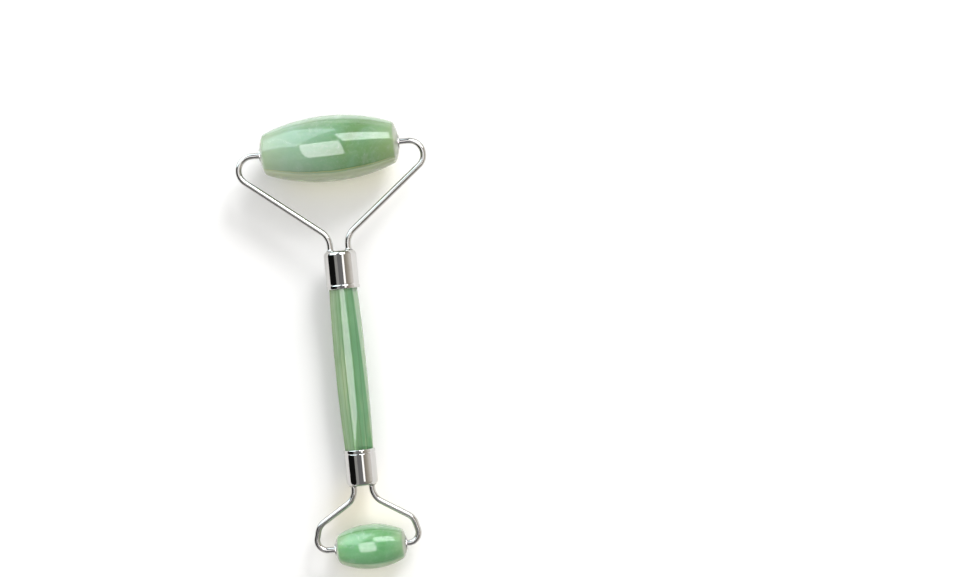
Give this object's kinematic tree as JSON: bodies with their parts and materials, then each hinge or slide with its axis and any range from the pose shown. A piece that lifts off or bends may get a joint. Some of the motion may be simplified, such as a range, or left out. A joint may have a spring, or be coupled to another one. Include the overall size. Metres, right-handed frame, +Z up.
{
  "type": "face roller",
  "caption": "Double-ended facial massage roller: faceted jade handle in silver ferrules, a large and a small barrel-shaped jade roller turning in bent wire forks.",
  "frame": {"origin": "centre of the overall box at floor level, with the part lying on its two rollers", "axes": "+X along the roller axes, +Y along the handle towards the large roller, +Z up from the floor"},
  "size_m": [0.0614, 0.1454, 0.0212],
  "materials": {
    "roller_jade": "polished translucent green stone",
    "handle_jade": "polished translucent green stone",
    "plated_metal": "bright silver-tone plating",
    "plated_wire": "bright silver-tone plating",
    "bush_metal": "bright silver-tone plating",
    "solder": "plated solder, satin",
    "adhesive": "cured clear epoxy"
  },
  "bodies": {
    "root": {"handle_stone": "handle_jade", "upper_ferrule": "plated_metal", "lower_ferrule": "plated_metal", "upper_adhesive": "adhesive", "lower_adhesive": "adhesive", "large_fork": "plated_wire", "small_fork": "plated_wire", "upper_solder": "solder", "lower_solder": "solder"},
    "large_roller": {"large_roller_stone": "roller_jade", "large_roller_bush_left": "bush_metal", "large_roller_bush_right": "bush_metal"},
    "small_roller": {"small_roller_stone": "roller_jade", "small_roller_bush_left": "bush_metal", "small_roller_bush_right": "bush_metal"}
  },
  "joints": [
    {"name": "large_roller_spin", "type": "hinge", "parent": "root", "child": "large_roller", "pos_m": [0, 0.06205, 0.0106], "axis": [1, 0, 0], "continuous": true},
    {"name": "small_roller_spin", "type": "hinge", "parent": "root", "child": "small_roller", "pos_m": [0, -0.0655, 0.00715], "axis": [1, 0, 0], "continuous": true}
  ]
}
